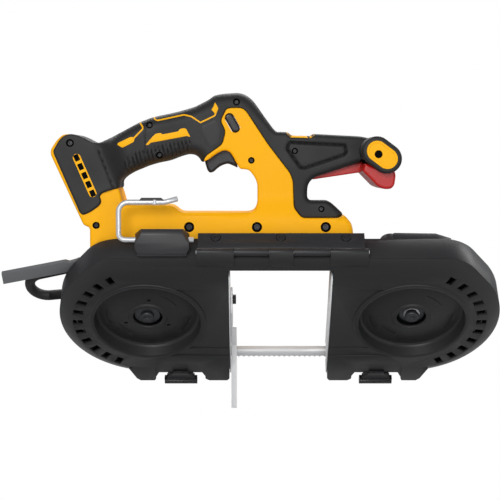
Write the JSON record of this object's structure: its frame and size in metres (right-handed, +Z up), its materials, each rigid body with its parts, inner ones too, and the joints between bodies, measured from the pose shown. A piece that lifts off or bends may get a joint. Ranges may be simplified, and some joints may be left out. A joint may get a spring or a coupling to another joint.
{
  "type": "portable_band_saw",
  "caption": "Portable band saw with a tilted twin-wheel head, open cutting throat, hinged blade cover, rear trigger handle and front cross handle",
  "frame": {"origin": "under the middle of the whole saw, at the height of the work stop's feet", "axes": "+X to the front of the saw along its length, +Y away from the blade cover's side, +Z up along the handle's plane"},
  "size_m": [0.5628, 0.1732, 0.3665],
  "materials": {
    "yellow_shell": "moulded, fine satin texture",
    "black_shell": "moulded, fine grain",
    "gloss_black": "moulded, polished",
    "dark_plastic": "moulded",
    "soft_grip": "overmoulded, grained",
    "red_paddle": "moulded, satin",
    "wheel_metal": "turned and blasted",
    "tyre_rubber": "moulded",
    "blade_steel": "rolled band, set teeth",
    "bright_steel": "zinc plated",
    "wire_steel": "plated wire",
    "dark_steel": "phosphated",
    "gear_steel": "cut and ground",
    "case_metal": "die cast",
    "winding": "varnished winding on laminations",
    "potting": "potted"
  },
  "bodies": {
    "body": {"frame_housing": "black_shell", "hinge_rail": "dark_plastic", "rail_screws": "dark_steel", "cover_hinge_pin": "bright_steel", "rear_blade_guide": "case_metal", "front_blade_guide": "case_metal", "work_stop_screw": "dark_steel", "saw_blade": "blade_steel", "throat_liners": "bright_steel", "drive_bearings": "bright_steel", "tension_springs": "gear_steel", "gearcase": "case_metal", "gearcase_screws": "dark_steel", "motor_stator": "winding", "motor_bearings": "bright_steel", "right_body_shell": "yellow_shell", "left_body_shell": "yellow_shell", "right_grip_skin": "soft_grip", "left_grip_skin": "soft_grip", "body_screws": "dark_steel", "vent_inserts": "yellow_shell", "terminal_block": "dark_plastic", "controller_module": "potting", "trigger_switch": "dark_plastic", "right_arm_shell": "black_shell", "left_arm_shell": "black_shell", "front_grips": "soft_grip", "grip_end_caps": "yellow_shell", "grip_bolt": "dark_steel", "front_lever_pin": "bright_steel", "front_switch": "dark_plastic", "hook_retainer": "dark_plastic", "tether_loop": "soft_grip"},
    "cover": {"blade_cover": "black_shell"},
    "rear_latch": {"rear_cover_latch": "gloss_black"},
    "front_latch": {"front_cover_latch": "gloss_black"},
    "rear_near_roller_body": {"rear_near_roller": "bright_steel"},
    "rear_far_roller_body": {"rear_far_roller": "bright_steel"},
    "front_near_roller_body": {"front_near_roller": "bright_steel"},
    "front_far_roller_body": {"front_far_roller": "bright_steel"},
    "stop": {"work_stop": "bright_steel"},
    "drive": {"drive_wheel": "wheel_metal", "drive_tyre": "tyre_rubber", "drive_wheel_bolt": "dark_steel", "drive_shaft": "gear_steel", "drive_gear": "gear_steel"},
    "intermediate": {"intermediate_gear": "gear_steel"},
    "rotor": {"motor_rotor": "gear_steel", "cooling_fan": "dark_plastic"},
    "tension": {"tension_slide": "case_metal", "idler_axle": "dark_steel"},
    "idler": {"idler_wheel": "wheel_metal", "idler_tyre": "tyre_rubber", "idler_bearing": "bright_steel"},
    "tension_arm": {"tension_lever": "dark_plastic"},
    "trigger_body": {"trigger": "dark_plastic"},
    "button_body": {"lock_off_button": "gloss_black"},
    "paddle_body": {"front_lever": "red_paddle"},
    "hook_body": {"hang_hook": "wire_steel"},
    "rafter_body": {"rafter_hook": "dark_steel"}
  },
  "joints": [
    {"name": "cover_hinge", "type": "hinge", "parent": "body", "child": "cover", "pos_m": [0.03244, -0.08219, 0.19166], "axis": [-1, 0, 0], "range_deg": [0, 100]},
    {"name": "rear_latch_pivot", "type": "hinge", "parent": "body", "child": "rear_latch", "pos_m": [-0.08316, 0.07238, 0.05264], "axis": [1, 0, 0], "range_deg": [0, 60]},
    {"name": "front_latch_pivot", "type": "hinge", "parent": "body", "child": "front_latch", "pos_m": [0.14804, 0.07238, 0.05264], "axis": [1, 0, 0], "range_deg": [0, 60]},
    {"name": "rear_near_roller_spin", "type": "hinge", "parent": "body", "child": "rear_near_roller_body", "pos_m": [-0.03756, 0.05594, 0.06537], "axis": [0, 0, 1], "continuous": true},
    {"name": "rear_far_roller_spin", "type": "hinge", "parent": "body", "child": "rear_far_roller_body", "pos_m": [-0.03756, 0.06619, 0.06537], "axis": [0, 0, 1], "continuous": true},
    {"name": "front_near_roller_spin", "type": "hinge", "parent": "body", "child": "front_near_roller_body", "pos_m": [0.10244, 0.05594, 0.06537], "axis": [0, 0, 1], "continuous": true},
    {"name": "front_far_roller_spin", "type": "hinge", "parent": "body", "child": "front_far_roller_body", "pos_m": [0.10244, 0.06619, 0.06537], "axis": [0, 0, 1], "continuous": true},
    {"name": "work_stop_slide", "type": "slide", "parent": "body", "child": "stop", "axis": [0, 0, 1], "range_m": [0, 0.012]},
    {"name": "drive_wheel_spin", "type": "hinge", "parent": "body", "child": "drive", "pos_m": [-0.11756, 0.00026, 0.12618], "axis": [0, 0.7071, 0.7071], "continuous": true},
    {"name": "intermediate_gear_spin", "type": "hinge", "parent": "body", "child": "intermediate", "pos_m": [-0.08195, -0.00638, 0.16817], "axis": [0, 0.7071, 0.7071], "continuous": true},
    {"name": "motor_spin", "type": "hinge", "parent": "body", "child": "rotor", "pos_m": [-0.11252, 0.01298, 0.19831], "axis": [0, 0.7071, 0.7071], "continuous": true},
    {"name": "blade_tension_slide", "type": "slide", "parent": "body", "child": "tension", "axis": [-1, 0, 0], "range_m": [0, 0.0015]},
    {"name": "idler_wheel_spin", "type": "hinge", "parent": "tension", "child": "idler", "pos_m": [0.18244, 0.00026, 0.12618], "axis": [0, 0.7071, 0.7071], "continuous": true},
    {"name": "tension_lever_turn", "type": "hinge", "parent": "body", "child": "tension_arm", "pos_m": [0.15444, -0.03934, 0.19972], "axis": [0, -0.7071, -0.7071], "range_deg": [0, 90]},
    {"name": "trigger_pivot", "type": "hinge", "parent": "body", "child": "trigger_body", "pos_m": [-0.03156, -0.01742, 0.3135], "axis": [0, -1, 0], "range_deg": [0, 12], "stiffness_Nm_per_rad": 0.3, "springref_deg": -17.19},
    {"name": "lock_off_slide", "type": "slide", "parent": "body", "child": "button_body", "axis": [0, 1, 0], "range_m": [0, 0.004], "stiffness_N_per_m": 700, "springref_m": -0.002},
    {"name": "front_lever_pivot", "type": "hinge", "parent": "body", "child": "paddle_body", "pos_m": [0.07244, -0.01742, 0.2769], "axis": [0, -1, 0], "range_deg": [0, 5], "stiffness_Nm_per_rad": 0.9, "springref_deg": -14.32},
    {"name": "hang_hook_pivot", "type": "hinge", "parent": "body", "child": "hook_body", "pos_m": [-0.09656, -0.07519, 0.20488], "axis": [1, 0, 0], "range_deg": [0, 85]},
    {"name": "rafter_hook_pivot", "type": "hinge", "parent": "body", "child": "rafter_body", "pos_m": [-0.18956, -0.02874, 0.17638], "axis": [0, 0.7071, 0.7071], "range_deg": [0, 90]}
  ],
  "couplings": [
    {"joint": "idler_wheel_spin", "follows": "drive_wheel_spin", "ratio": 1},
    {"joint": "intermediate_gear_spin", "follows": "drive_wheel_spin", "ratio": -5},
    {"joint": "motor_spin", "follows": "drive_wheel_spin", "ratio": 30},
    {"joint": "tension_lever_turn", "follows": "blade_tension_slide", "rad_per_m": 1047.2}
  ]
}
